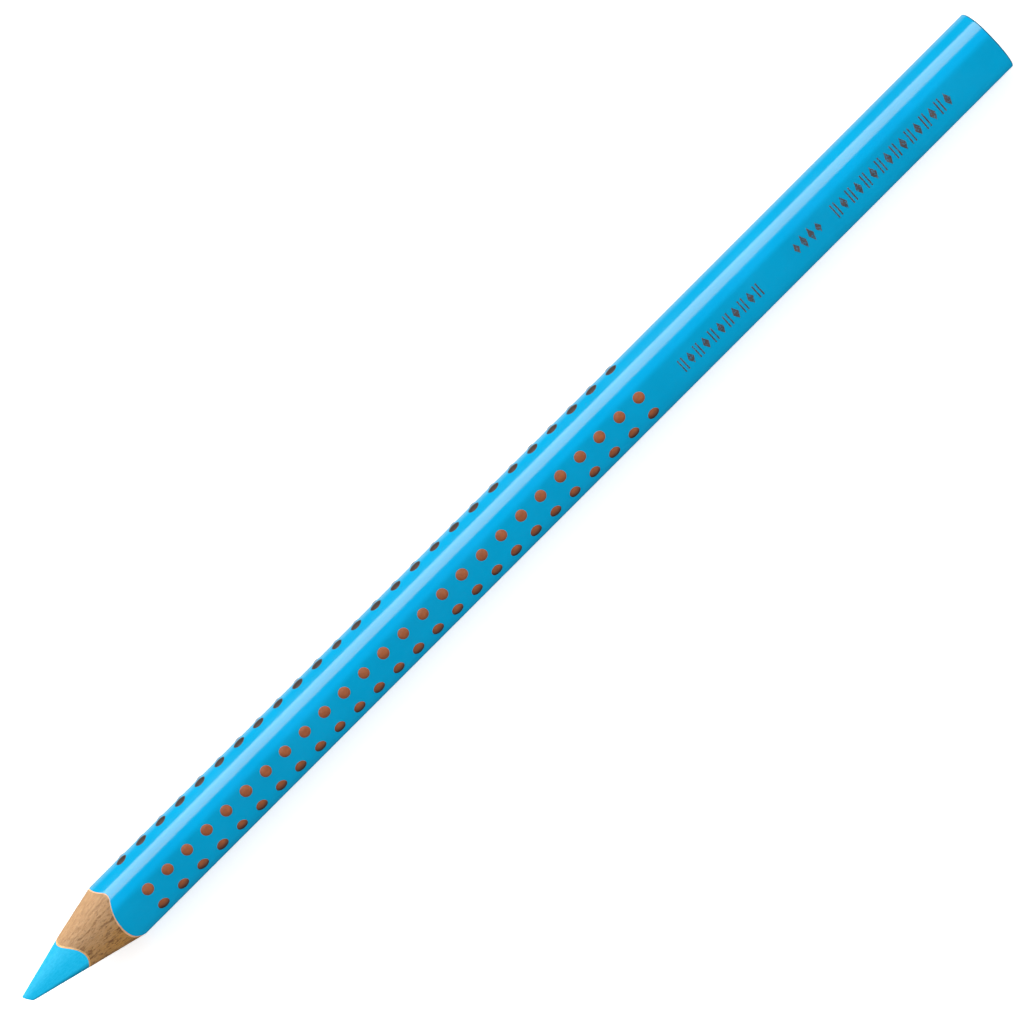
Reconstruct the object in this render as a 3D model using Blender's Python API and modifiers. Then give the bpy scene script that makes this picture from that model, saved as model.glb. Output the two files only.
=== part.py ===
# Jumbo colouring pencil with a soft-triangular barrel, lying on one face with an edge on top.
# X runs along the pencil, with the sharpened point at -X and the flat rear end at +X. Z is up,
# z = 0 is the table, and the origin is under the middle of the pencil. Units are metres.

import math

import bmesh
import bpy

# overall size
LENGTH = 0.175  # point to rear end
FACE_RADIUS = 0.00443  # axis to the middle of a face
EDGE_RADIUS = 0.00492  # axis to the middle of a rounded edge
EDGE_ROUNDING = 0.0022  # radius of the rounded edges

# layers, from the outside in
VARNISH = 0.00004
LACQUER = 0.00006
PRIMER = 0.00004
GLUE = 0.00006
LEAD_RADIUS = 0.0027
LAYER_GAP = 0.00001  # clearance between neighbouring solids

# sharpening
CONE_HALF_ANGLE = math.radians(14.14)
TIP_RADIUS = 0.00077  # rounding of the point

# rear end
DIP_THICKNESS = 0.00035
DIP_ROUNDING = 0.00022

# raised grip dots: two rows on each face
DOT_COUNT = 26
DOT_PITCH = 0.00355
FIRST_DOT = 0.0217  # point to the first dot's middle
DOT_RADIUS = 0.0008
DOT_HEIGHT = 0.0002
DOT_OFFSET = math.radians(17)  # from the face's middle to a row, about the face's centre of curvature
WEB_WIDTH = 0.0003
WEB_THICKNESS = 0.00004

# fineness of the facets
FACE_STEPS = 8
EDGE_STEPS = 6
ROUND_STEPS = 48
TIP_STEPS = 4
DOT_SIDES = 8
DOT_RINGS = 2

# geometry that follows from the sizes above
EDGE_CENTRE = EDGE_RADIUS - EDGE_ROUNDING
BULGE = EDGE_RADIUS - FACE_RADIUS
FACE_CENTRE = BULGE * (2 * EDGE_CENTRE - BULGE) / (EDGE_CENTRE - 2 * BULGE)
FACE_CURVE = FACE_RADIUS + FACE_CENTRE
FACE_HALF_ANGLE = math.atan2(EDGE_CENTRE * math.sin(math.pi / 3), EDGE_CENTRE / 2 + FACE_CENTRE)
DOME_RADIUS = (DOT_RADIUS**2 + DOT_HEIGHT**2) / (2 * DOT_HEIGHT)
DOT_DEPTH = (FACE_CURVE + LAYER_GAP + DOT_HEIGHT - DOME_RADIUS) * math.cos(DOT_OFFSET) + DOME_RADIUS
AXIS_HEIGHT = max(FACE_RADIUS, DOT_DEPTH - FACE_CENTRE)
FACE_DIRECTIONS = [math.radians(-90 + 120 * side) for side in range(3)]
POINT_X = -LENGTH / 2
REAR_X = LENGTH / 2
BODY_END_X = REAR_X - DIP_THICKNESS - LAYER_GAP
PRIMER_INSET = VARNISH + LACQUER + 2 * LAYER_GAP
WOOD_INSET = PRIMER_INSET + PRIMER + LAYER_GAP
GROOVE_RADIUS = LEAD_RADIUS + GLUE + 2 * LAYER_GAP
SEAM = GLUE / 2 + LAYER_GAP  # half the distance between the slats
WIDE = 0.008  # further out than any part of the section


def direction(angle):
    return math.cos(angle), math.sin(angle)


def arc(centre, radius, start, end, steps):
    angles = [start + (end - start) * step / steps for step in range(steps)]
    return [(centre[0] + radius * math.cos(a), centre[1] + radius * math.sin(a)) for a in angles]


def circle(radius):
    return arc((0, 0), radius, 0, 2 * math.pi, ROUND_STEPS)


# The section at a depth below the finished surface: three wide face arcs and three edge arcs,
# tangent where they meet. Every depth has the same arc centres.
def section(inset):
    points = []
    for middle in FACE_DIRECTIONS:
        across, up = direction(middle)
        face_centre = (-FACE_CENTRE * across, -FACE_CENTRE * up)
        start, end = middle - FACE_HALF_ANGLE, middle + FACE_HALF_ANGLE
        points += arc(face_centre, FACE_CURVE - inset, start, end, FACE_STEPS)
        across, up = direction(middle + math.pi / 3)
        edge_centre = (EDGE_CENTRE * across, EDGE_CENTRE * up)
        start, end = end, middle + 2 * math.pi / 3 - FACE_HALF_ANGLE
        points += arc(edge_centre, EDGE_ROUNDING - inset, start, end, EDGE_STEPS)
    return points


def material(name, colour, roughness, metallic=0.0, coat=0.0):
    made = bpy.data.materials.new(name)
    made.use_nodes = True
    made.diffuse_color = (*colour, 1)
    shader = made.node_tree.nodes["Principled BSDF"]
    shader.inputs["Base Color"].default_value = (*colour, 1)
    shader.inputs["Roughness"].default_value = roughness
    shader.inputs["Metallic"].default_value = metallic
    shader.inputs["Coat Weight"].default_value = coat
    return made


def collection(name):
    made = bpy.data.collections.new(name)
    bpy.context.scene.collection.children.link(made)
    return made


def shade(mesh, sharp_angle=35):
    mesh.shade_smooth()
    mesh.set_sharp_from_angle(angle=math.radians(sharp_angle))


# A straight length of one or two outlines, the second a hole, from one station to another along X.
def extrude(name, outlines, start, end):
    curve = bpy.data.curves.new(name, "CURVE")
    curve.dimensions = "2D"
    curve.fill_mode = "BOTH"
    curve.extrude = (end - start) / 2
    for outline in outlines:
        spline = curve.splines.new("POLY")
        spline.points.add(len(outline) - 1)
        for point, (across, up) in zip(spline.points, outline):
            point.co = (across, up, 0, 1)
        spline.use_cyclic_u = True
    guide = bpy.data.objects.new(name + "_outline", curve)
    guide.location = ((start + end) / 2, 0, AXIS_HEIGHT)
    guide.rotation_euler = (math.pi / 2, 0, math.pi / 2)
    bpy.context.scene.collection.objects.link(guide)
    bpy.context.view_layer.update()
    evaluated = guide.evaluated_get(bpy.context.evaluated_depsgraph_get())
    mesh = bpy.data.meshes.new_from_object(evaluated)
    mesh.name = name
    caps = bmesh.new()
    caps.from_mesh(mesh)
    bmesh.ops.remove_doubles(caps, verts=caps.verts, dist=1e-7)
    bmesh.ops.recalc_face_normals(caps, faces=caps.faces)
    caps.to_mesh(mesh)
    caps.free()
    made = bpy.data.objects.new(name, mesh)
    made.matrix_world = guide.matrix_world
    bpy.data.objects.remove(guide, do_unlink=True)
    shade(mesh)
    return made


def box(name, low, high):
    mesh = bpy.data.meshes.new(name)
    block = bmesh.new()
    bmesh.ops.create_cube(block, size=1)
    size = [h - l for l, h in zip(low, high)]
    bmesh.ops.scale(block, vec=size, verts=block.verts)
    bmesh.ops.translate(block, vec=[(l + h) / 2 for l, h in zip(low, high)], verts=block.verts)
    block.to_mesh(mesh)
    block.free()
    return bpy.data.objects.new(name, mesh)


def turn(mesh_object, steps):
    screw = mesh_object.modifiers.new("turned", "SCREW")
    screw.axis = "Z"
    screw.steps = steps
    screw.render_steps = steps
    screw.use_merge_vertices = True
    screw.merge_threshold = 1e-7
    return mesh_object


def profile(name, points):
    mesh = bpy.data.meshes.new(name)
    links = [(index, index + 1) for index in range(len(points) - 1)]
    mesh.from_pydata([(radius, 0, height) for radius, height in points], links, [])
    return bpy.data.objects.new(name, mesh)


def combine(target, operand, operation):
    boolean = target.modifiers.new(operand.name, "BOOLEAN")
    boolean.operation = operation
    boolean.object = operand
    boolean.solver = "EXACT"


def finish(piece, look, home):
    home.objects.link(piece)
    piece.data.materials.clear()
    piece.data.materials.append(look)
    return piece


def tool(piece, home):
    home.objects.link(piece)
    piece.hide_render = True
    piece.display_type = "WIRE"
    return piece


# What the sharpener leaves: a cone with a rounded point, wider than the barrel behind it.
def sharpened_shape(home):
    tip_centre = TIP_RADIUS / math.sin(CONE_HALF_ANGLE)
    apex = tip_centre - TIP_RADIUS
    turn_end = math.pi / 2 - CONE_HALF_ANGLE
    points = []
    for step in range(TIP_STEPS + 1):
        angle = turn_end * step / TIP_STEPS
        points.append((TIP_RADIUS * math.sin(angle), TIP_RADIUS * (1 - math.cos(angle))))
    points.append((WIDE, WIDE / math.tan(CONE_HALF_ANGLE) - apex))
    points.append((WIDE, LENGTH + WIDE))
    points.append((0, LENGTH + WIDE))
    shape = turn(profile("sharpened_shape", points[::-1]), ROUND_STEPS)
    shape.location = (POINT_X, 0, AXIS_HEIGHT)
    shape.rotation_euler = (0, math.pi / 2, 0)
    return tool(shape, home)


# One straight piece of the barrel, cut by the sharpener and, for a slat or a glue film, by a block.
def barrel_piece(name, outlines, look, parts, sharpened, block=None):
    piece = extrude(name, outlines, POINT_X - WIDE, BODY_END_X)
    if block:
        combine(piece, block, "INTERSECT")
    combine(piece, sharpened, "INTERSECT")
    return finish(piece, look, parts)


def lead(parts, sharpened):
    look = material("lead", (0.013, 0.51, 0.93), 0.6)
    barrel_piece("lead_core", [circle(LEAD_RADIUS)], look, parts, sharpened)


def lead_glue(parts, sharpened):
    look = material("lead_glue", (0.86, 0.78, 0.6), 0.4)
    inner = LEAD_RADIUS + LAYER_GAP
    barrel_piece("lead_glue_sleeve", [circle(inner + GLUE), circle(inner)], look, parts, sharpened)


def wood(parts, cutters, sharpened):
    look = material("cedar", (0.61, 0.376, 0.205), 0.65)
    outlines = [section(WOOD_INSET), circle(GROOVE_RADIUS)]
    ends = POINT_X - 2 * WIDE, REAR_X + WIDE
    lower = tool(box("below_seam", (ends[0], -WIDE, -WIDE), (ends[1], WIDE, AXIS_HEIGHT - SEAM)), cutters)
    upper = tool(box("above_seam", (ends[0], -WIDE, AXIS_HEIGHT + SEAM), (ends[1], WIDE, 2 * WIDE)), cutters)
    barrel_piece("lower_slat", outlines, look, parts, sharpened, lower)
    barrel_piece("upper_slat", outlines, look, parts, sharpened, upper)


def slat_glue(parts, cutters, sharpened):
    look = material("slat_glue", (0.86, 0.78, 0.6), 0.4)
    outlines = [section(WOOD_INSET), circle(GROOVE_RADIUS)]
    low, high = AXIS_HEIGHT - GLUE / 2, AXIS_HEIGHT + GLUE / 2
    for name, near, far in (("slat_glue_right", -WIDE, 0), ("slat_glue_left", 0, WIDE)):
        film = tool(box(name + "_space", (POINT_X - 2 * WIDE, near, low), (REAR_X + WIDE, far, high)), cutters)
        barrel_piece(name, outlines, look, parts, sharpened, film)


def coats(parts, sharpened):
    coat_looks = {
        "primer_coat": (PRIMER_INSET, PRIMER, material("primer", (0.86, 0.62, 0.4), 0.5)),
        "colour_lacquer": (VARNISH + LAYER_GAP, LACQUER, material("lacquer", (0.004, 0.42, 0.78), 0.3)),
        "gloss_varnish": (0, VARNISH, material("varnish", (0.004, 0.42, 0.78), 0.08, coat=1.0)),
    }
    for name, (inset, thickness, look) in coat_looks.items():
        outlines = [section(inset), section(inset + thickness)]
        barrel_piece(name, outlines, look, parts, sharpened)


# The lacquer that closes the sawn rear end, with a rounded rim.
def rear_end(parts):
    look = material("end_dip", (0.004, 0.42, 0.78), 0.15, coat=1.0)
    cap = extrude("rear_end_dip", [section(0)], REAR_X - DIP_THICKNESS, REAR_X)
    weights = cap.data.attributes.new("bevel_weight_edge", "FLOAT", "EDGE")
    for edge in cap.data.edges:
        on_rim = all(cap.data.vertices[v].co.z > 0 for v in edge.vertices)
        weights.data[edge.index].value = 1.0 if on_rim else 0.0
    rim = cap.modifiers.new("rim", "BEVEL")
    rim.width = DIP_ROUNDING
    rim.segments = 2
    rim.limit_method = "WEIGHT"
    finish(cap, look, parts)


# One row of domes. A hair-thin web joins them into one solid.
def dot_row(name, angle, face_middle, look, parts, cutters):
    across, up = direction(face_middle)
    out_y, out_z = direction(angle)
    reach = FACE_CURVE + LAYER_GAP
    place = (
        POINT_X + FIRST_DOT,
        reach * out_y - FACE_CENTRE * across,
        reach * out_z - FACE_CENTRE * up + AXIS_HEIGHT,
    )
    tilt = (angle - math.pi / 2, 0, 0)

    cap_angle = math.asin(DOT_RADIUS / DOME_RADIUS)
    base = DOME_RADIUS - DOT_HEIGHT
    points = []
    for ring in range(DOT_RINGS + 1):
        turned = cap_angle * ring / DOT_RINGS
        points.append((DOME_RADIUS * math.sin(turned), DOME_RADIUS * math.cos(turned) - base))
    points.append((0, 0))
    row = turn(profile(name, points), DOT_SIDES)
    row.location, row.rotation_euler = place, tilt

    repeat = row.modifiers.new("along_the_pencil", "ARRAY")
    repeat.count = DOT_COUNT
    repeat.use_relative_offset = False
    repeat.use_constant_offset = True
    repeat.constant_offset_displace = (DOT_PITCH, 0, 0)

    web_end = (DOT_COUNT - 1) * DOT_PITCH
    web_low = WEB_THICKNESS / 4
    web = box(
        name + "_web",
        (0, -WEB_WIDTH / 2, web_low),
        (web_end, WEB_WIDTH / 2, web_low + WEB_THICKNESS),
    )
    web.location, web.rotation_euler = place, tilt
    combine(row, tool(web, cutters), "UNION")
    finish(row, look, parts)


def grip_dots(parts, cutters):
    look = material("grip_dots", (0.29, 0.105, 0.048), 0.5)
    number = 0
    for middle in FACE_DIRECTIONS:
        for side in (-1, 1):
            number += 1
            dot_row(f"grip_dots_row_{number}", middle + side * DOT_OFFSET, middle, look, parts, cutters)


def main():
    for thing in list(bpy.data.objects):
        bpy.data.objects.remove(thing, do_unlink=True)
    parts = collection("jumbo_pencil")
    cutters = collection("cutters")
    sharpened = sharpened_shape(cutters)
    lead(parts, sharpened)
    lead_glue(parts, sharpened)
    wood(parts, cutters, sharpened)
    slat_glue(parts, cutters, sharpened)
    coats(parts, sharpened)
    rear_end(parts)
    grip_dots(parts, cutters)


main()
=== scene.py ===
import math
import random

import bmesh
import bpy
from mathutils import Matrix, Vector, noise


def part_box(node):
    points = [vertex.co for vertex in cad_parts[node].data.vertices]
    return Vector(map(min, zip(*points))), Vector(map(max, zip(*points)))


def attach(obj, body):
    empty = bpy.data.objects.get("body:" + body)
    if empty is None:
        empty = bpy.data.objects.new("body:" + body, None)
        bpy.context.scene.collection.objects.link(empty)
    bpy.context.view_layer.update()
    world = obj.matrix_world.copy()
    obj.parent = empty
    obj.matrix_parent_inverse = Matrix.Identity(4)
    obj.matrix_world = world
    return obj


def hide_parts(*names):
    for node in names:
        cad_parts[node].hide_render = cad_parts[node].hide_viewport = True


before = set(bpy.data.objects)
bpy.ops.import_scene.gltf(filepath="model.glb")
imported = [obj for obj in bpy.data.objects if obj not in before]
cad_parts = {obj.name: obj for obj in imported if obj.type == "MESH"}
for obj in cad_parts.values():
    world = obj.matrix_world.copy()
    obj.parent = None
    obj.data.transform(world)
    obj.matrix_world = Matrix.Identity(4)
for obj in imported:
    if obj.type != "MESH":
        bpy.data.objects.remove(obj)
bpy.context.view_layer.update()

mm = 0.001

# what the frame says
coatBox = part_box("gloss_varnish")
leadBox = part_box("lead_core")
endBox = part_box("rear_end_dip")
axisHeight = (leadBox[0].z + leadBox[1].z) / 2
pointX = leadBox[0].x
rearX = endBox[1].x
bodyEndX = endBox[0].x

barrel = {
    "faceRadius": axisHeight - coatBox[0].z,
    "edgeRadius": coatBox[1].z - axisHeight,
    "edgeRounding": 2.2 * mm,
    "lacquerDepth": 0.05 * mm,
    "primerDepth": 0.09 * mm,
    "columns": 288,  # points round the pencil in every ring
}
sharpening = {"halfAngle": math.radians(14.14), "tipRadius": 0.77 * mm}

# the soft triangle: three wide face arcs and three rounded edges, tangent where they meet
edgeCentre = barrel["edgeRadius"] - barrel["edgeRounding"]
bulge = barrel["edgeRadius"] - barrel["faceRadius"]
faceCentre = bulge * (2 * edgeCentre - bulge) / (edgeCentre - 2 * bulge)
faceCurve = barrel["faceRadius"] + faceCentre
faceHalf = math.atan2(edgeCentre * math.sin(math.pi / 3), edgeCentre / 2 + faceCentre)
faceSplit = math.atan2(faceCurve * math.sin(faceHalf), faceCurve * math.cos(faceHalf) - faceCentre)
faceMiddles = [math.radians(-90 + 120 * side) for side in range(3)]

coneTan = math.tan(sharpening["halfAngle"])
tipBall = sharpening["tipRadius"]
apexX = pointX + tipBall - tipBall / math.sin(sharpening["halfAngle"])


def barrelRadius(angle, inset=0.0):
    third = 2 * math.pi / 3
    turned = (angle + math.pi / 2 + third / 2) % third - third / 2
    if abs(turned) <= faceSplit:
        curve = faceCurve - inset
        return math.sqrt(curve**2 - (faceCentre * math.sin(turned)) ** 2) - faceCentre * math.cos(turned)
    turned = third / 2 - abs(turned)
    curve = barrel["edgeRounding"] - inset
    return math.sqrt(curve**2 - (edgeCentre * math.sin(turned)) ** 2) + edgeCentre * math.cos(turned)


def coneX(radius):
    return apexX + radius / coneTan


# a distance that wavers round the pencil: how many lobes, how deep, and which way the first one points
def lobed(mean, lobes, angle):
    return mean + sum(
        depth * math.cos(count * (angle - math.radians(first))) for count, depth, first in lobes
    )


def spot(x, radius, angle):
    return (x, radius * math.cos(angle), axisHeight + radius * math.sin(angle))


# smooth noise, a different one for each seed
def wander(x, y, z, seed):
    return noise.noise(Vector((x + 7.3 * seed, y + 3.1 * seed, z + 5.7 * seed)))


# layers of noise over a surface round the pencil: waves to a millimetre along it, how tight they are
# round it, how strong, and the seed
def layered(x, angle, layers, radius=mm):
    total = 0
    for along, tight, strength, seed in layers:
        reach = radius / mm * tight
        total += strength * wander(x / mm * along, reach * math.cos(angle), reach * math.sin(angle), seed)
    return total


def blendIn(value, start, end):
    share = min(1.0, max(0.0, (value - start) / (end - start)))
    return share * share * (3 - 2 * share)


# full in the middle of a stretch and nothing at its two ends
def fadeEnds(share, start, end):
    return blendIn(share, 0, start) * (1 - blendIn(share, end, 1))


# a point on a face, by how far it is along the pencil, across from the face's middle and up off it
def facePoint(x, across, height, middle):
    normal = middle + across / faceCurve
    reach = faceCurve + height
    return (
        x,
        reach * math.cos(normal) - faceCentre * math.cos(middle),
        axisHeight + reach * math.sin(normal) - faceCentre * math.sin(middle),
    )


def newPiece(name, points, faces, material, sharp=40):
    mesh = bpy.data.meshes.new(name)
    mesh.from_pydata([tuple(point) for point in points], [], faces)
    mesh.validate()
    solid = bmesh.new()
    solid.from_mesh(mesh)
    bmesh.ops.recalc_face_normals(solid, faces=solid.faces)
    solid.to_mesh(mesh)
    solid.free()
    mesh.shade_smooth()
    mesh.set_sharp_from_angle(angle=math.radians(sharp))
    piece = bpy.data.objects.new(name, mesh)
    bpy.context.scene.collection.objects.link(piece)
    mesh.materials.append(material)
    return piece


# rings of points round the pencil, joined in turn. A ring of one point closes an end to a pole,
# and looped=True joins the last ring to the first, which makes a sleeve
def ringFaces(rings, looped=False, firstIndex=0):
    faces = []
    starts = [firstIndex]
    for ring in rings:
        starts.append(starts[-1] + len(ring))
    pairs = [(index, index + 1) for index in range(len(rings) - 1)]
    if looped:
        pairs.append((len(rings) - 1, 0))
    for one, two in pairs:
        a, b = starts[one], starts[two]
        count = max(len(rings[one]), len(rings[two]))
        for step in range(count):
            after = (step + 1) % count
            if len(rings[one]) == 1:
                faces.append((a, b + step, b + after))
            elif len(rings[two]) == 1:
                faces.append((a + step, a + after, b))
            else:
                faces.append((a + step, a + after, b + after, b + step))
    return faces


def ringPiece(name, rings, material, looped=False, sharp=40):
    points = [point for ring in rings for point in ring]
    return newPiece(name, points, ringFaces(rings, looped), material, sharp=sharp)


# columns of (outer points front to rear, inner points front to rear), side by side from one cut
# face to the other. The first outer point is the front edge, shared by both.
def wedgePiece(name, columns, material):
    outerCount = len(columns[0][0])
    loops = [outer + inner[:0:-1] for outer, inner in columns]
    size = len(loops[0])
    points = [point for loop in loops for point in loop]
    faces = []
    for column in range(len(loops) - 1):
        a, b = column * size, (column + 1) * size
        for step in range(size):
            after = (step + 1) % size
            faces.append((a + step, a + after, b + after, b + step))
    for start in (0, (len(loops) - 1) * size):
        faces.append((start, start + 1, start + size - 1))
        for step in range(1, outerCount - 1):
            mate = size - step
            faces.append((start + step, start + step + 1, start + mate - 1, start + mate))
    return newPiece(name, points, faces, material)


def newMaterial(name, **constants):
    material = bpy.data.materials.new(name)
    material.use_nodes = True
    shader = material.node_tree.nodes["Principled BSDF"]
    for label, value in constants.items():
        socket = shader.inputs[label.replace("_", " ")]
        socket.default_value = (*value, 1) if socket.type == "RGBA" else value
    return material, material.node_tree, shader


def addNode(tree, kind, links=None, **values):
    node = tree.nodes.new(kind)
    settings = {key: value for key, value in values.items() if hasattr(node, key)}
    for key, value in settings.items():
        setattr(node, key, value)
    for key, value in values.items():
        if key not in settings:
            node.inputs[key.replace("_", " ")].default_value = value
    for key, source in (links or {}).items():
        tree.links.new(source, node.inputs[key])
    return node


def newGroup(name, inputs, outputs):
    tree = bpy.data.node_groups.new(name, "ShaderNodeTree")
    for label, kind, value in inputs:
        socket = tree.interface.new_socket(name=label, in_out="INPUT", socket_type=kind)
        if value is not None:
            socket.default_value = value
    for label, kind in outputs:
        tree.interface.new_socket(name=label, in_out="OUTPUT", socket_type=kind)
    return tree, addNode(tree, "NodeGroupInput"), addNode(tree, "NodeGroupOutput")


def placeGroup(tree, group, links=None, **values):
    node = tree.nodes.new("ShaderNodeGroup")
    node.node_tree = group
    for key, value in values.items():
        node.inputs[key.replace("_", " ")].default_value = value
    for key, source in (links or {}).items():
        tree.links.new(source, node.inputs[key])
    return node


# the mix node takes its colours at sockets 6 and 7, and gives one at socket 2
def mixColours(tree, factor, first, second):
    node = tree.nodes.new("ShaderNodeMix")
    node.data_type = "RGBA"
    for socket, value in ((node.inputs[0], factor), (node.inputs[6], first), (node.inputs[7], second)):
        if isinstance(value, bpy.types.NodeSocket):
            tree.links.new(value, socket)
        elif isinstance(value, (tuple, list)):
            socket.default_value = (*value, 1)
        else:
            socket.default_value = value
    return node.outputs[2]


def mixShaders(tree, factor, first, second):
    return addNode(tree, "ShaderNodeMixShader", {0: factor, 1: first.outputs[0], 2: second.outputs[0]})


def calculate(tree, operation, *values):
    node = tree.nodes.new("ShaderNodeMath")
    node.operation = operation
    for socket, value in zip(node.inputs, values):
        if isinstance(value, bpy.types.NodeSocket):
            tree.links.new(value, socket)
        else:
            socket.default_value = value
    return node.outputs[0]


def here(tree):
    return addNode(tree, "ShaderNodeTexCoord").outputs["Object"]


def part(tree, vector, axis):
    return addNode(tree, "ShaderNodeSeparateXYZ", {0: vector}).outputs[axis]


# from nothing at the start to the most at the end, straight in between
def ramp(tree, value, start, end, most=1.0):
    node = addNode(tree, "ShaderNodeMapRange", {"Value": value}, From_Min=start, From_Max=end, To_Max=most)
    return node.outputs[0]


# grows as a surface turns away from the eye, to paint shade at the edges
def aslantShade(tree, start, end, most=1.0):
    facing = addNode(tree, "ShaderNodeLayerWeight", Blend=0.5)
    return ramp(tree, facing.outputs["Facing"], start, end, most)


def bump(tree, shader, height, distance):
    node = addNode(tree, "ShaderNodeBump", {"Height": height}, Distance=distance)
    tree.links.new(node.outputs["Normal"], shader.inputs["Normal"])


# in a group: its pattern between the levels Low and High, spread from 0 to 1
def spreadLevels(tree, given, made, pattern):
    levels = {"From Min": given.outputs["Low"], "From Max": given.outputs["High"]}
    ranged = addNode(tree, "ShaderNodeMapRange", {"Value": pattern.outputs["Fac"], **levels})
    tree.links.new(ranged.outputs[0], made.inputs["Mask"])


# fine lines that run along the pencil: wood fibre, drawn lacquer, drag marks on the lead
def makeStreaks():
    tree, given, made = newGroup(
        "lengthwiseStreaks",
        [
            ("Vector", "NodeSocketVector", None),
            ("Lines Per Metre", "NodeSocketFloat", 4000.0),
            ("Length Ratio", "NodeSocketFloat", 12.0),
            ("Low", "NodeSocketFloat", 0.4),
            ("High", "NodeSocketFloat", 0.6),
        ],
        [("Mask", "NodeSocketFloat")],
    )
    shrink = calculate(tree, "DIVIDE", 1.0, given.outputs["Length Ratio"])
    scale = addNode(tree, "ShaderNodeCombineXYZ", {"X": shrink}, Y=1.0, Z=1.0)
    squeezed = addNode(
        tree, "ShaderNodeVectorMath", {0: given.outputs["Vector"], 1: scale.outputs[0]}, operation="MULTIPLY"
    )
    pattern = addNode(
        tree,
        "ShaderNodeTexNoise",
        {"Vector": squeezed.outputs[0], "Scale": given.outputs["Lines Per Metre"]},
        Detail=4.0,
        Roughness=0.6,
    )
    spreadLevels(tree, given, made, pattern)
    return tree


# soft patches or fine specks, by their size and by how much of the surface they take
def makePatches():
    tree, given, made = newGroup(
        "patches",
        [
            ("Vector", "NodeSocketVector", None),
            ("Patches Per Metre", "NodeSocketFloat", 200.0),
            ("Detail", "NodeSocketFloat", 3.0),
            ("Low", "NodeSocketFloat", 0.35),
            ("High", "NodeSocketFloat", 0.65),
        ],
        [("Mask", "NodeSocketFloat")],
    )
    pattern = addNode(
        tree,
        "ShaderNodeTexNoise",
        {
            "Vector": given.outputs["Vector"],
            "Scale": given.outputs["Patches Per Metre"],
            "Detail": given.outputs["Detail"],
        },
        Roughness=0.55,
    )
    spreadLevels(tree, given, made, pattern)
    return tree


touch = {"finer": 9.0, "broad": 0.7, "fine": 0.3}


# roughness that varies where fingers have been
def makeHandling(patches):
    tree, given, made = newGroup(
        "handling",
        [
            ("Vector", "NodeSocketVector", None),
            ("Patches Per Metre", "NodeSocketFloat", 150.0),
            ("Smoothest", "NodeSocketFloat", 0.1),
            ("Roughest", "NodeSocketFloat", 0.2),
        ],
        [("Roughness", "NodeSocketFloat")],
    )
    where, coarse = given.outputs["Vector"], given.outputs["Patches Per Metre"]
    broad = placeGroup(tree, patches, {"Vector": where, "Patches Per Metre": coarse})
    finer = calculate(tree, "MULTIPLY", coarse, touch["finer"])
    fine = placeGroup(tree, patches, {"Vector": where, "Patches Per Metre": finer})
    little = calculate(tree, "MULTIPLY", fine.outputs[0], touch["fine"])
    both = calculate(tree, "MULTIPLY_ADD", broad.outputs[0], touch["broad"], little)
    ranged = addNode(
        tree,
        "ShaderNodeMapRange",
        {"Value": both, "To Min": given.outputs["Smoothest"], "To Max": given.outputs["Roughest"]},
    )
    tree.links.new(ranged.outputs[0], made.inputs["Roughness"])
    return tree


streaks = makeStreaks()
patches = makePatches()
handling = makeHandling(patches)


def streaked(tree, where, lines, ratio, low=0.4, high=0.6):
    settings = {"Lines_Per_Metre": lines, "Length_Ratio": ratio, "Low": low, "High": high}
    return placeGroup(tree, streaks, {"Vector": where}, **settings).outputs[0]


def patched(tree, where, many, detail=3.0, low=0.35, high=0.65):
    settings = {"Patches_Per_Metre": many, "Detail": detail, "Low": low, "High": high}
    return placeGroup(tree, patches, {"Vector": where}, **settings).outputs[0]


def roughen(tree, shader, where, smoothest, roughest, many=150.0):
    settings = {"Patches_Per_Metre": many, "Smoothest": smoothest, "Roughest": roughest}
    touched = placeGroup(tree, handling, {"Vector": where}, **settings)
    tree.links.new(touched.outputs[0], shader.inputs["Roughness"])


lacquer = {
    # each blue where it lies thin and where it lies thick; the rim's pair is painted shade, darker blues for
    # a line along the dip's rounded edge
    "barrel": ((0.0, 0.385, 0.69), (0.0, 0.36, 0.65)),
    "end": ((0.0, 0.36, 0.645), (0.0, 0.33, 0.60)),
    "rim": ((0.012, 0.125, 0.19), (0.018, 0.095, 0.145)),
    "lines": 0.12,  # how much the lines show that the die left along it
    "lineRelief": 0.4,
    "roughness": (0.085, 0.15),
    "relief": 0.0015 * mm,
}


def blueLacquer(name, thin, thick):
    material, tree, shader = newMaterial(name, IOR=1.5, Specular_IOR_Level=0.5)
    where = here(tree)
    cloud = patched(tree, where, many=120.0)
    drawn = streaked(tree, where, lines=1800.0, ratio=60.0)
    shade = mixColours(tree, cloud, thin, thick)
    lined = mixColours(tree, calculate(tree, "MULTIPLY", drawn, lacquer["lines"]), shade, thick)
    tree.links.new(lined, shader.inputs["Base Color"])
    roughen(tree, shader, where, *lacquer["roughness"])
    peel = patched(tree, where, many=1100.0, detail=1.0, low=0.2, high=0.8)
    height = calculate(tree, "MULTIPLY_ADD", drawn, lacquer["lineRelief"], peel)
    bump(tree, shader, height, lacquer["relief"])
    return material


pigment = {
    "body": ((0.004, 0.15, 0.205), (0.008, 0.19, 0.26)),
    "drag": (0.03, 0.28, 0.36),  # the paler marks that the sharpener dragged along it
    "dragShow": 0.4,
    "dragRelief": 0.6,
    "below": (0.0, 0.05, 0.08),  # painted shade on its underside, which the light from above doesn't reach
    "paintedGlow": ((0.0, 0.10, 0.17), (0.002, 0.335, 0.61)),  # painted glow, by emission: on its underside and on its upper side
    "paintedLit": (-0.15, 0.32),  # painted light: how far up a side faces where the light painted from above starts, and is full
    "roughness": (0.42, 0.62),
    "relief": 0.008 * mm,
}
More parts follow.
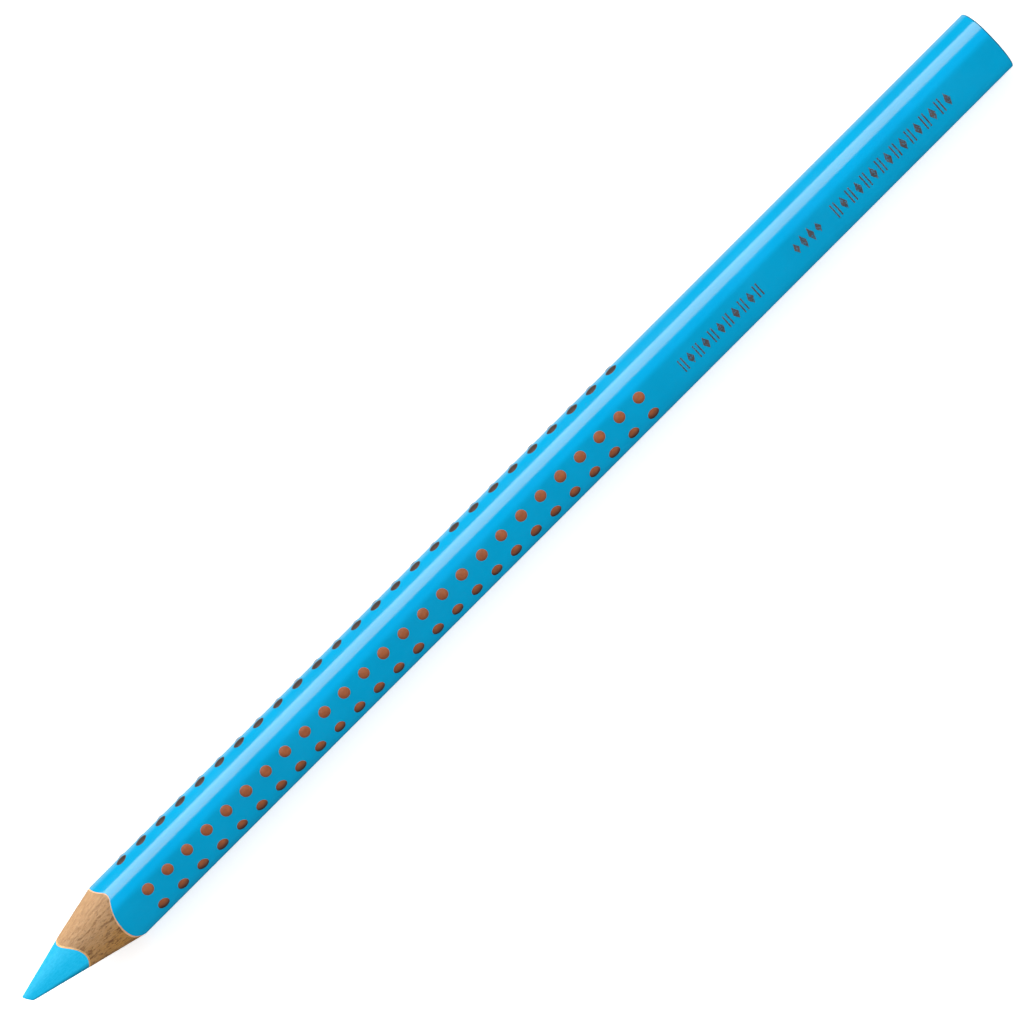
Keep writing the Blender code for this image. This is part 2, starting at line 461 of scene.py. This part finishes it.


# painted light: the lead glows by emission, brighter on sides that face up, and its underside is painted in
# shade
def leadPigment():
    material, tree, shader = newMaterial("leadPigment", Specular_IOR_Level=0.08, Emission_Strength=1.0)
    where = here(tree)
    drag = streaked(tree, where, lines=5000.0, ratio=5.0)
    grain = patched(tree, where, many=9000.0, detail=4.0)
    body = mixColours(tree, grain, *pigment["body"])
    marked = mixColours(tree, calculate(tree, "MULTIPLY", drag, pigment["dragShow"]), body, pigment["drag"])
    # painted light and shade: the colour and the glow follow how far each side faces up
    upwards = part(tree, addNode(tree, "ShaderNodeTexCoord").outputs["Normal"], "Z")
    paintedLit = ramp(tree, upwards, *pigment["paintedLit"])
    tree.links.new(mixColours(tree, paintedLit, pigment["below"], marked), shader.inputs["Base Color"])
    tree.links.new(mixColours(tree, paintedLit, *pigment["paintedGlow"]), shader.inputs["Emission Color"])
    roughen(tree, shader, where, *pigment["roughness"], many=900.0)
    height = calculate(tree, "MULTIPLY_ADD", drag, pigment["dragRelief"], grain)
    bump(tree, shader, height, pigment["relief"])
    return material


timber = {
    # painted shade: the slat is pale on the far side and darkens towards the near one, away from the light,
    # along an edge that wavers with the grain
    "ring": (2.0 * mm, -3.6 * mm),  # where the painted shade starts and where it is darkest, across the pencil
    "waver": 1.2 * mm,
    "shadePower": 2.0,  # over 1 keeps the shaded side narrow
    "body": ((0.465, 0.262, 0.122), (0.48, 0.23, 0.055)),  # lit and shaded: at its palest and at its darkest
    "fibre": (0.66, 0.42, 0.22),
    "fibreShow": (-0.2, 0.34),  # how much it changes towards the shaded side, and how much it shows
    "hollowShow": (0.85, 0.16),  # the same for dashes and pores
    "dashes": (0.21, 0.095, 0.032),
    "pores": (0.13, 0.055, 0.02),
    "aslantShade": (0.16, 0.09, 0.03),
    "roughness": (0.5, 0.75),
    "relief": 0.02 * mm,
}


def slatWood():
    material, tree, shader = newMaterial("slatWood", Specular_IOR_Level=0.15)
    where = here(tree)
    across = part(tree, where, "Y")
    cloud = streaked(tree, where, lines=700.0, ratio=5.0, low=0.3, high=0.7)
    shifted = calculate(tree, "MULTIPLY_ADD", cloud, timber["waver"], across)
    # painted shade across the pencil, darker towards its near side
    ring = ramp(tree, shifted, *timber["ring"])
    dark = calculate(tree, "POWER", ring, timber["shadePower"])
    fibre = streaked(tree, where, lines=3600.0, ratio=7.0, low=0.36, high=0.64)
    dashes = streaked(tree, where, lines=2400.0, ratio=5.0, low=0.52, high=0.60)
    pores = streaked(tree, where, lines=7000.0, ratio=6.0, low=0.57, high=0.66)
    body = mixColours(tree, dark, *timber["body"])
    pale = calculate(tree, "MULTIPLY_ADD", dark, *timber["fibreShow"])
    lined = mixColours(tree, calculate(tree, "MULTIPLY", fibre, pale), body, timber["fibre"])
    often = calculate(tree, "MULTIPLY_ADD", ring, *timber["hollowShow"])
    dashed = mixColours(tree, calculate(tree, "MULTIPLY", dashes, often), lined, timber["dashes"])
    full = mixColours(tree, calculate(tree, "MULTIPLY", pores, often), dashed, timber["pores"])
    # painted shade where the wood is seen aslant
    turned = mixColours(tree, aslantShade(tree, start=0.55, end=0.9, most=0.35), full, timber["aslantShade"])
    tree.links.new(turned, shader.inputs["Base Color"])
    roughen(tree, shader, where, *timber["roughness"], many=1500.0)
    hollows = calculate(tree, "ADD", dashes, pores)
    bump(tree, shader, calculate(tree, "SUBTRACT", fibre, hollows), timber["relief"])
    return material


films = {
    "glue": ((0.86, 0.47, 0.16), (0.62, 0.30, 0.09)),
    "primer": ((0.90, 0.53, 0.31), (0.76, 0.38, 0.16)),
    "roughness": (0.35, 0.6),
    "relief": 0.004 * mm,
}


def paleFilm(name, light, dark):
    material, tree, shader = newMaterial(name, Specular_IOR_Level=0.4)
    where = here(tree)
    mottle = patched(tree, where, many=2500.0)
    tree.links.new(mixColours(tree, mottle, light, dark), shader.inputs["Base Color"])
    roughen(tree, shader, where, *films["roughness"], many=1500.0)
    bump(tree, shader, mottle, films["relief"])
    return material


copper = {
    "plain": ((0.41, 0.118, 0.04), (0.32, 0.09, 0.03)),
    # painted shade: a darker copy of the paint for the rows seen aslant
    "shadedCopy": ((0.075, 0.03, 0.02), (0.055, 0.025, 0.018)),
    "flecks": (0.46, 0.19, 0.09),
    "fleckShow": 0.2,
    "aslantShade": (0.038, 0.03, 0.028),
    "roughness": (0.34, 0.5),
    "relief": 0.003 * mm,
}


# a copper paint with painted shade: it turns dark where it is seen aslant
def dotPaint(name, light, dark):
    material, tree, shader = newMaterial(name, Specular_IOR_Level=0.12)
    where = here(tree)
    mottle = patched(tree, where, many=1400.0)
    fine = patched(tree, where, many=9000.0, low=0.5, high=0.7)
    body = mixColours(tree, mottle, light, dark)
    flecked = mixColours(tree, calculate(tree, "MULTIPLY", fine, copper["fleckShow"]), body, copper["flecks"])
    turned = mixColours(tree, aslantShade(tree, start=0.08, end=0.62), flecked, copper["aslantShade"])
    tree.links.new(turned, shader.inputs["Base Color"])
    roughen(tree, shader, where, *copper["roughness"], many=700.0)
    bump(tree, shader, fine, copper["relief"])
    return material


foil = {
    "body": ((0.13, 0.105, 0.11), (0.21, 0.13, 0.105)),
    "gone": (0.0, 0.3, 0.5),  # the blue that shows where it has rubbed off
    "metallic": 0.5,
    "roughness": (0.28, 0.5),
    "relief": 0.002 * mm,
}


def stampFoil():
    material, tree, shader = newMaterial("stampFoil", Specular_IOR_Level=0.5)
    where = here(tree)
    gone = patched(tree, where, many=5000.0, low=0.54, high=0.64)
    tone = patched(tree, where, many=900.0)
    body = mixColours(tree, tone, *foil["body"])
    tree.links.new(mixColours(tree, gone, body, foil["gone"]), shader.inputs["Base Color"])
    metal = calculate(tree, "MULTIPLY_ADD", gone, -foil["metallic"], foil["metallic"])
    tree.links.new(metal, shader.inputs["Metallic"])
    roughen(tree, shader, where, *foil["roughness"], many=1800.0)
    bump(tree, shader, tone, foil["relief"])
    return material


print("materials")
lacquerLook = blueLacquer("blueLacquer", *lacquer["barrel"])
endLook = blueLacquer("endLacquer", *lacquer["end"])
shadedRimLook = blueLacquer("shadedRimLine", *lacquer["rim"])
leadLook = leadPigment()
woodLook = slatWood()
glueLook = paleFilm("paleGlue", *films["glue"])
primerLook = paleFilm("creamPrimer", *films["primer"])
dotLook = dotPaint("dotPaint", *copper["plain"])
shadedDotLook = dotPaint("dotPaintShaded", *copper["shadedCopy"])
foilLook = stampFoil()

around = [2 * math.pi * step / barrel["columns"] for step in range(barrel["columns"])]


lead = {
    "radius": 2.84 * mm,
    "lobes": [(1, 0.12 * mm, 182), (2, 0.078 * mm, 137), (3, 0.088 * mm, 133)],  # out of round
    "glue": 0.065 * mm,
    "gap": 0.002 * mm,  # keeps the glue off the lead inside the wood
    "nose": 0.3 * mm,  # how round it was before it wore
    "tipRings": 8,
    "coneRings": 110,
    "scraping": 0.012 * mm,  # how deep the sharpener's marks are
    "scrapes": [(1.2, 9, 0.7, 1), (9, 3, 0.5, 2)],
    "scraped": (0.05, 0.93),  # between which shares of the cone they are full
    # the very point is worn off at a slant
    "wear": {
        "back": 0.26 * mm,
        "slope": 0.58,  # how much deeper it goes with each step towards its lower side
        "towards": math.radians(203),
        "rounding": 0.24 * mm,
        "crumbs": 0.03 * mm,
        "crumbsPerMm": 3,
        "reach": 0.3,  # the share of the cone that the wear can touch
    },
}


def leadRadius(angle):
    return lobed(lead["radius"], lead["lobes"], angle)


# where a point of the lead ends up once the slanted wear has taken what was in front of it
def worn(x, radius, angle):
    wear = lead["wear"]
    aside = radius * math.cos(angle - wear["towards"])
    side, up = radius / mm * math.cos(angle), radius / mm * math.sin(angle)
    crumbs = wear["crumbs"] * wander(side * wear["crumbsPerMm"], up * wear["crumbsPerMm"], 0, 4)
    cut = pointX + wear["back"] + wear["slope"] * aside + crumbs
    return (x + cut + math.sqrt((x - cut) ** 2 + wear["rounding"] ** 2)) / 2


def makeLead():
    nose = lead["nose"]
    noseX = apexX + nose / math.sin(sharpening["halfAngle"]) - nose
    rings = [[(worn(noseX, 0, 0), 0, axisHeight)]]
    topAngle = math.pi / 2 - sharpening["halfAngle"]
    for step in range(1, lead["tipRings"] + 1):
        turned = topAngle * step / lead["tipRings"]
        x, radius = noseX + nose * (1 - math.cos(turned)), nose * math.sin(turned)
        rings.append([spot(worn(x, radius, angle), radius, angle) for angle in around])
    startX = noseX + nose * (1 - math.cos(topAngle))
    for step in range(1, lead["coneRings"] + 1):
        share = step / lead["coneRings"]
        ring = []
        for angle in around:
            endX = coneX(leadRadius(angle))
            x = startX + (endX - startX) * share
            radius = (x - apexX) * coneTan
            fade = fadeEnds(share, *lead["scraped"])
            radius += lead["scraping"] * fade * layered(x, angle, lead["scrapes"])
            if share < lead["wear"]["reach"]:
                x = worn(x, radius, angle)
            ring.append(spot(x, radius, angle))
        rings.append(ring)
    rings.append([spot(bodyEndX, leadRadius(angle), angle) for angle in around])
    rings.append([(bodyEndX, 0, axisHeight)])
    piece = ringPiece("leadPoint", rings, leadLook, sharp=60)
    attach(piece, "root")
    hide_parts("lead_core")


def makeLeadGlue():
    depth = lead["glue"]
    inner = [spot(coneX(leadRadius(angle)), leadRadius(angle), angle) for angle in around]
    outer = [spot(coneX(leadRadius(angle) + depth), leadRadius(angle) + depth, angle) for angle in around]
    rearOuter = [spot(bodyEndX, leadRadius(angle) + depth, angle) for angle in around]
    rearInner = [spot(bodyEndX, leadRadius(angle) + lead["gap"], angle) for angle in around]
    piece = ringPiece("leadGlue", [inner, outer, rearOuter, rearInner], glueLook, looped=True)
    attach(piece, "root")
    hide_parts("lead_glue_sleeve")


print("lead")
makeLead()
makeLeadGlue()


# the sharpener ran a little off centre and broke the lacquer back from its cut
coatEdge = {
    "setback": 0.40 * mm,
    "lobes": [(1, 0.27 * mm, 48), (2, 0.06 * mm, 168), (3, 0.20 * mm, 149)],
    "primerShow": 0.30 * mm,  # how much primer shows in front of the lacquer
}


def coatFront(angle):
    return coneX(barrelRadius(angle)) + lobed(coatEdge["setback"], coatEdge["lobes"], angle)


wood = {
    "columns": 216,  # in each slat
    "coneRings": 64,
    "barrelRings": 6,
    "seam": 0.025 * mm,  # half of the gap between the slats
    "film": 0.9,  # the share of that gap which the glue fills
    "fibreRelief": 0.022 * mm,
    "fibres": [(0.35, 4.5, 1, 3), (1.1, 9, 0.5, 5)],
    "fibred": (0.04, 0.96),  # between which shares of the cone the fibres stand full
}


def boreRadius(angle):
    return leadRadius(angle) + lead["glue"]


def woodRadius(angle):
    return barrelRadius(angle, barrel["primerDepth"])


# front to rear at one angle, outside and in the bore: up the cone, then under the coats
def woodOutline(angle, lift):
    bore, skin = boreRadius(angle), woodRadius(angle)
    start, front = coneX(bore), coatFront(angle) - coatEdge["primerShow"]
    outer, inner = [], []
    for step in range(wood["coneRings"] + 1):
        share = step / wood["coneRings"]
        radius = bore + (skin - bore) * share
        x = start + (front - start) * share
        relief = layered(x, angle, wood["fibres"], radius)
        height = radius + wood["fibreRelief"] * relief * fadeEnds(share, *wood["fibred"])
        outer.append(Vector(spot(x, height, angle)) + lift)
        inner.append(Vector(spot(x, bore, angle)) + lift)
    for step in range(1, wood["barrelRings"] + 1):
        x = front + (bodyEndX - front) * step / wood["barrelRings"]
        outer.append(Vector(spot(x, skin, angle)) + lift)
        inner.append(Vector(spot(x, bore, angle)) + lift)
    return outer, inner


def makeSlat(name, node, start, side):
    lift = Vector((0, 0, side * wood["seam"]))
    angles = [start + math.pi * step / wood["columns"] for step in range(wood["columns"] + 1)]
    piece = wedgePiece(name, [woodOutline(angle, lift) for angle in angles], woodLook)
    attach(piece, "root")
    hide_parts(node)


def makeSeam(name, node, angle):
    lifts = [Vector((0, 0, share * wood["seam"])) for share in (-wood["film"], wood["film"])]
    columns = [woodOutline(angle, lift) for lift in lifts]
    piece = wedgePiece(name, columns, glueLook)
    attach(piece, "root")
    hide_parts(node)


print("wood")
makeSlat("upperSlat", "upper_slat", 0, 1)
makeSlat("lowerSlat", "lower_slat", math.pi, -1)
makeSeam("slatGlueLeft", "slat_glue_left", 0)
makeSeam("slatGlueRight", "slat_glue_right", math.pi)


coats = {
    "rings": 150,
    "ringSpacing": 1.3,  # over 1 puts the rings closer together near the front edge
    "ripple": 0.0005 * mm,  # how far the gloss wanders from a true surface
    "ripples": [(0.16, 2.2, 1, 8), (0.5, 6, 0.3, 9)],
    "rippled": 0.03,  # the share of the barrel over which that sets in
    "chipping": 0.045 * mm,  # how ragged the sharpener left the lacquer's edge
    "primerChipping": 0.3,  # and how much of that the primer's own edge takes
    "lip": 0.025 * mm,
}


def chip(angle):
    side, up = math.cos(angle), math.sin(angle)
    rough = wander(26 * side, 26 * up, 0, 6) + 0.6 * wander(60 * side, 60 * up, 0, 7)
    return coats["chipping"] * max(0.0, rough + 0.15)


def makePrimer():
    outerAt = [barrelRadius(angle, barrel["lacquerDepth"]) for angle in around]
    innerAt = [woodRadius(angle) for angle in around]
    show, ragged = coatEdge["primerShow"], coats["primerChipping"]
    front = [spot(coatFront(angle) - show, inner, angle) for inner, angle in zip(innerAt, around)]
    crown = [
        spot(coatFront(angle) + ragged * chip(angle), outer, angle) for outer, angle in zip(outerAt, around)
    ]
    rearOuter = [spot(bodyEndX, outer, angle) for outer, angle in zip(outerAt, around)]
    rearInner = [spot(bodyEndX, inner, angle) for inner, angle in zip(innerAt, around)]
    piece = ringPiece("primerCoat", [front, crown, rearOuter, rearInner], primerLook, looped=True)
    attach(piece, "root")
    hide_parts("primer_coat")


def makeLacquer():
    lip, depth = coats["lip"], barrel["lacquerDepth"]
    # the front edge turns over a small lip: how far back, and how far below the outside
    edge = [(0, depth), (0.6 * lip, 0.35 * lip), (2.2 * lip, 0)]
    rings = []
    for back, below in edge:
        ring = []
        for angle in around:
            ring.append(spot(coatFront(angle) + chip(angle) + back, barrelRadius(angle) - below, angle))
        rings.append(ring)
    for step in range(1, coats["rings"] + 1):
        share = (step / coats["rings"]) ** coats["ringSpacing"]
        fade = blendIn(share, 0, coats["rippled"])
        ring = []
        for angle in around:
            front = coatFront(angle) + chip(angle) + edge[-1][0]
            x = front + (bodyEndX - front) * share
            ripple = layered(x, angle, coats["ripples"])
            ring.append(spot(x, barrelRadius(angle) + coats["ripple"] * ripple * fade, angle))
        rings.append(ring)
    rings.append([spot(bodyEndX, barrelRadius(angle, depth), angle) for angle in around])
    piece = ringPiece("blueBarrel", rings, lacquerLook, looped=True, sharp=50)
    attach(piece, "root")
    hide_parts("colour_lacquer", "gloss_varnish")


print("coats")
makePrimer()
makeLacquer()


rearEnd = {
    "rim": 0.26 * mm,  # rounding where the dip turns over the edge
    "crown": 0.08 * mm,  # how far the middle stands out past the rim
    "rimRings": 8,
    "faceRings": 36,
    "sag": 0.012 * mm,  # how uneven the end is
    "sagsPerMm": 0.8,
    "level": 0.2,  # the share of the end, next to the rim, over which that sets in
    "line": (0.6, 1.1),  # how wide the rim's line of painted shade is, in roundings: forwards, and in from the side
}


def makeRearEnd():
    rim, waves = rearEnd["rim"], rearEnd["sagsPerMm"]
    rings = [[(bodyEndX, 0, axisHeight)]]
    rings.append([spot(bodyEndX, barrelRadius(angle), angle) for angle in around])
    edgeX = rearX - rearEnd["crown"]
    for step in range(rearEnd["rimRings"] + 1):
        turned = math.pi / 2 * step / rearEnd["rimRings"]
        inset = rim * (1 - math.cos(turned))
        x = edgeX - rim * (1 - math.sin(turned))
        rings.append([spot(x, barrelRadius(angle) - inset, angle) for angle in around])
    for step in range(1, rearEnd["faceRings"]):
        share = 1 - step / rearEnd["faceRings"]
        ring = []
        for angle in around:
            radius = (barrelRadius(angle) - rim) * share
            swell = rearEnd["crown"] * (1 - share**2)
            side, up = radius / mm * math.cos(angle), radius / mm * math.sin(angle)
            level = blendIn(1 - share, 0, rearEnd["level"])
            sag = rearEnd["sag"] * wander(side * waves, up * waves, 0, 10) * level
            ring.append(spot(min(rearX, edgeX + swell + sag), radius, angle))
        rings.append(ring)
    rings.append([(rearX, 0, axisHeight)])
    piece = ringPiece("endDip", rings, endLook)
    piece.data.materials.append(shadedRimLook)
    forwards, inwards = rearEnd["line"]
    # painted shade: the faces round the rim take the shaded rim blue
    for face in piece.data.polygons:
        middle = face.center
        reach = math.hypot(middle.y, middle.z - axisHeight)
        angle = math.atan2(middle.z - axisHeight, middle.y)
        if middle.x > edgeX - forwards * rim and reach > barrelRadius(angle) - inwards * rim:
            face.material_index = 1
    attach(piece, "root")
    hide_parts("rear_end_dip")


print("rear end")
makeRearEnd()


dots = {
    "count": 26,
    "pitch": 3.55 * mm,
    "first": 21.7 * mm,  # from the point
    # of the two rows on a face
    "radius": (0.82 * mm, 0.89 * mm),
    "offset": (math.radians(17), math.radians(16.6)),
    "height": 0.2 * mm,
    "shoulder": 2.1,  # higher is squarer at the rim
    "sink": 0.01 * mm,  # the rim goes this far into the lacquer
    "foot": 0.03 * mm,  # and the middle of the underside this far
    # how uneven they are, as shares of a dot, and how far off their places
    "uneven": 0.03,
    "flatter": 0.15,
    "oval": 0.015,
    "astray": 0.03,  # in millimetres
    "sides": 28,
    "rings": 9,
    "shadedCopy": (3, 4),  # the rows on the far face, seen aslant, which take the copy of the paint in painted shade
}


def dotMesh(x, across, middle, radius, chance):
    uneven, astray = dots["uneven"], dots["astray"]
    radius *= 1 + chance.uniform(-uneven, uneven)
    height = dots["height"] * (1 - chance.uniform(0, dots["flatter"]))
    x += chance.uniform(-astray, astray) * mm
    across += chance.uniform(-astray, astray) * mm
    stretch = 1 + chance.uniform(-uneven, uneven)
    lean = chance.uniform(0, 2 * math.pi)
    rings = [[facePoint(x, across, height, middle)]]
    for ring in range(1, dots["rings"] + 1):
        share = ring / dots["rings"]
        up = height * (1 - share ** dots["shoulder"]) - dots["sink"] * (share == 1)
        points = []
        for side in range(dots["sides"]):
            angle = 2 * math.pi * side / dots["sides"]
            reach = radius * share * (1 + dots["oval"] * math.cos(2 * (angle - lean)))
            along, aside = reach * math.cos(angle) * stretch, reach * math.sin(angle)
            points.append(facePoint(x + along, across + aside, up, middle))
        rings.append(points)
    rings.append([facePoint(x, across, -dots["foot"], middle)])
    return rings


def makeDots():
    number = 0
    for middle in faceMiddles:
        for row, side in enumerate((-1, 1)):
            number += 1
            chance = random.Random(number)
            across = side * dots["offset"][row] * faceCurve
            points, faces = [], []
            for place in range(dots["count"]):
                x = pointX + dots["first"] + place * dots["pitch"]
                rings = dotMesh(x, across, middle, dots["radius"][row], chance)
                faces += ringFaces(rings, firstIndex=len(points))
                points += [point for ring in rings for point in ring]
            look = shadedDotLook if number in dots["shadedCopy"] else dotLook
            piece = newPiece(f"gripDots{number}", points, faces, look, sharp=50)
            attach(piece, "root")
            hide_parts(f"grip_dots_row_{number}")


print("grip dots")
makeDots()


marks = {
    "middle": math.radians(-210),  # the face that carries them
    "film": 0.012 * mm,
    "steps": 10,
    "thinnest": 0.02 * mm,
    # where each group starts and ends, how far it is off the face's middle, and how tall
    "first": (116.8 * mm, 131.6 * mm, -0.5 * mm, 2.15 * mm),
    "emblem": (137.6 * mm, 142.7 * mm, -0.85 * mm, 2.3 * mm),
    "second": (144.6 * mm, 166.0 * mm, -0.7 * mm, 2.35 * mm),
    # the first and second groups: pairs of bars in turn with lozenges
    "pitch": 1.32 * mm,
    "barWidth": 0.2 * mm,
    "barSpread": 0.28 * mm,
    "lozengeWidth": 0.95 * mm,
    "lozengeHeight": 0.92,
    # the emblem: four lozenges, the outer two less tall
    "places": (-0.38, -0.13, 0.13, 0.38),
    "heights": (0.72, 1, 1, 0.72),
    "emblemWidth": 0.85 * mm,
}


# one mark: a bar whose width follows a shape from its foot to its head
def markMesh(x, middle, width, height, shape):
    points, faces = [], []
    steps, film = marks["steps"], marks["film"]
    for step in range(steps + 1):
        share = step / steps
        across = middle + height * (share - 0.5)
        half = max(marks["thinnest"], width / 2 * shape(share))
        for dx, up in ((-half, film), (half, film), (half, -film), (-half, -film)):
            points.append(facePoint(x + dx, across, up, marks["middle"]))
    for step in range(steps):
        a, b = 4 * step, 4 * (step + 1)
        for corner in range(4):
            after = (corner + 1) % 4
            faces.append((a + corner, a + after, b + after, b + corner))
    faces += [(0, 1, 2, 3), tuple(4 * steps + corner for corner in range(4))]
    return points, faces


def bar(share):
    return 1.0


def lozenge(share):
    return 1 - abs(2 * share - 1)


def makeMarks():
    points, faces = [], []

    def add(x, middle, width, height, shape):
        more, sides = markMesh(pointX + x, middle, width, height, shape)
        faces.extend(tuple(index + len(points) for index in side) for side in sides)
        points.extend(more)

    for start, end, middle, height in (marks["first"], marks["second"]):
        count = round((end - start) / marks["pitch"])
        gap = (end - start) / count
        for step in range(count):
            x = start + gap * (step + 0.5)
            if step % 2:
                add(x, middle, marks["lozengeWidth"], height * marks["lozengeHeight"], lozenge)
            else:
                add(x - marks["barSpread"], middle, marks["barWidth"], height, bar)
                add(x + marks["barSpread"], middle, marks["barWidth"], height, bar)
    start, end, middle, height = marks["emblem"]
    centre = (start + end) / 2
    for place, tall in zip(marks["places"], marks["heights"]):
        add(centre + place * (end - start), middle, marks["emblemWidth"], height * tall, lozenge)
    piece = newPiece("stampedMarks", points, faces, foilLook)
    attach(piece, "root")


print("stamped marks")
makeMarks()


camera = {
    "elevation": 65.5,  # above the table, on the -Y side
    "roll": 45.02,  # the pencil's slope across the frame
    "aim": 1.16 * mm,  # where the view's middle meets the pencil, along X
    "beside": -0.11 * mm,  # and how far past its middle line
    "lens": 178.0,
    "sensor": 36.0,
    "frameWidth": 131.68 * mm,  # the width in view at the pencil
    "near": 0.01,
    "far": 20.0,
}


def makeCamera():
    lens = bpy.data.cameras.new("camera")
    lens.lens = camera["lens"]
    lens.sensor_width = camera["sensor"]
    lens.clip_start, lens.clip_end = camera["near"], camera["far"]
    body = bpy.data.objects.new("camera", lens)
    bpy.context.scene.collection.objects.link(body)
    up, roll = math.radians(camera["elevation"]), math.radians(camera["roll"])
    towards = Vector((0, -math.cos(up), math.sin(up)))
    along, aside = Vector((1, 0, 0)), Vector((0, -math.sin(up), -math.cos(up)))
    right = along * math.cos(roll) + aside * math.sin(roll)
    top = along * math.sin(roll) - aside * math.cos(roll)
    distance = camera["frameWidth"] * camera["lens"] / camera["sensor"]
    stand = Vector((camera["aim"], 0, axisHeight)) + aside * camera["beside"] + towards * distance
    turn = Matrix((right, top, towards)).transposed().to_4x4()
    body.matrix_world = Matrix.Translation(stand) @ turn
    bpy.context.scene.camera = body


floor = {
    "radius": 6.0,
    "sides": 96,
    "pale": ((0.84, 0.84, 0.84), (0.86, 0.86, 0.86)),
    "thrown": (0.42, 0.42, 0.42),  # it throws less light up than it shows
    "lift": 0.6,  # what the eye sees of it beyond its own shade
    # the gloss sees it as a bright band on the far side: from its faded far edge to full, and its near edge
    "band": (45 * mm, 10 * mm),
    "bandEdge": (0.0, 2 * mm),
    "bright": 0.7,
    "dim": 0.03,
}


def makeFloor():
    material, tree, shader = newMaterial("paleTable", Roughness=0.9, Specular_IOR_Level=0.1)
    where = here(tree)
    pale = mixColours(tree, patched(tree, where, many=6.0), *floor["pale"])
    path = addNode(tree, "ShaderNodeLightPath")
    dimmed = mixColours(tree, path.outputs["Is Diffuse Ray"], pale, floor["thrown"])
    tree.links.new(dimmed, shader.inputs["Base Color"])
    across = part(tree, where, "Y")
    band, edge = ramp(tree, across, *floor["band"]), ramp(tree, across, *floor["bandEdge"])
    card = calculate(tree, "MULTIPLY", band, edge)
    level = calculate(tree, "MULTIPLY_ADD", card, floor["bright"], floor["dim"])
    seen = addNode(tree, "ShaderNodeEmission", {"Strength": level})
    lit = addNode(tree, "ShaderNodeEmission", Strength=floor["lift"])
    bright = addNode(tree, "ShaderNodeAddShader", {0: shader.outputs[0], 1: lit.outputs[0]})
    plain = mixShaders(tree, path.outputs["Is Camera Ray"], shader, bright)
    either = mixShaders(tree, path.outputs["Is Glossy Ray"], plain, seen)
    tree.links.new(either.outputs[0], tree.nodes["Material Output"].inputs["Surface"])
    mesh = bpy.data.meshes.new("table")
    top = bmesh.new()
    bmesh.ops.create_circle(top, cap_ends=True, segments=floor["sides"], radius=floor["radius"])
    top.to_mesh(mesh)
    top.free()
    table = bpy.data.objects.new("table", mesh)
    bpy.context.scene.collection.objects.link(table)
    mesh.materials.append(material)


# lean is from straight up towards +Y, turn carries it round towards +X, and distance and size are in
# metres. A gloss light shows in the gloss and lights nothing else, and the others never show in it
lights = {
    "stripBox": {"lean": 28.2, "size": (2.4, 1.25), "power": 25.5, "gloss": True},
    "stripBoxSoft": {"lean": 27.2, "size": (2.4, 1.48), "power": 30.0, "gloss": True},
    "blueCard": {"lean": -23, "size": (2.4, 0.42), "power": 7.9, "gloss": True, "colour": (0, 0.48, 1)},
    "blueCardEdge": {"lean": -27, "size": (2.4, 0.52), "power": 8.6, "gloss": True, "colour": (0, 0.48, 1)},
    "farKey": {"lean": 50, "turn": 30, "distance": 1.2, "size": (1.2, 0.8), "power": 11.5},
    "farFill": {"lean": 75, "turn": 20, "distance": 1.2, "size": (1.2, 0.5), "power": 8.4},
    "nearFill": {"lean": -76, "turn": 48, "distance": 1.2, "size": (1.0, 0.6), "power": 9.5},
}


def makeLight(name, lean, size, power, turn=0, distance=0.9, gloss=False, colour=(1, 1, 1)):
    data = bpy.data.lights.new(name, "AREA")
    data.shape = "RECTANGLE"
    data.size, data.size_y = size
    data.energy = power
    data.color = colour
    light = bpy.data.objects.new(name, data)
    tilt, spin = Matrix.Rotation(math.radians(-lean), 4, "X"), Matrix.Rotation(math.radians(turn), 4, "Z")
    centre = Matrix.Translation((0, 0, axisHeight))
    light.matrix_world = centre @ spin @ tilt @ Matrix.Translation((0, 0, distance))
    light.visible_camera = False
    light.visible_glossy = gloss
    light.visible_diffuse = not gloss
    bpy.context.scene.collection.objects.link(light)


air = {
    "soft": 0.47,  # what it lights with
    "gloss": 0.03,  # what the gloss shows of it
    "behind": 1.0,  # what the eye sees behind the pencil
}


# even light from all round, but a dark studio in the gloss and a white one behind
def makeAir():
    world = bpy.data.worlds.new("studioAir")
    bpy.context.scene.world = world
    world.use_nodes = True
    tree = world.node_tree
    path = addNode(tree, "ShaderNodeLightPath")
    soft = tree.nodes["Background"]
    soft.inputs["Color"].default_value = (1, 1, 1, 1)
    soft.inputs["Strength"].default_value = air["soft"]
    dark = addNode(tree, "ShaderNodeBackground", Color=(1, 1, 1, 1), Strength=air["gloss"])
    white = addNode(tree, "ShaderNodeBackground", Color=(1, 1, 1, 1), Strength=air["behind"])
    first = mixShaders(tree, path.outputs["Is Glossy Ray"], soft, dark)
    last = mixShaders(tree, path.outputs["Is Camera Ray"], first, white)
    tree.links.new(last.outputs[0], tree.nodes["World Output"].inputs["Surface"])


print("stage")
makeCamera()
makeFloor()
for name, settings in lights.items():
    makeLight(name, **settings)
makeAir()
bpy.context.scene.view_settings.view_transform = "Standard"

bpy.context.view_layer.update()
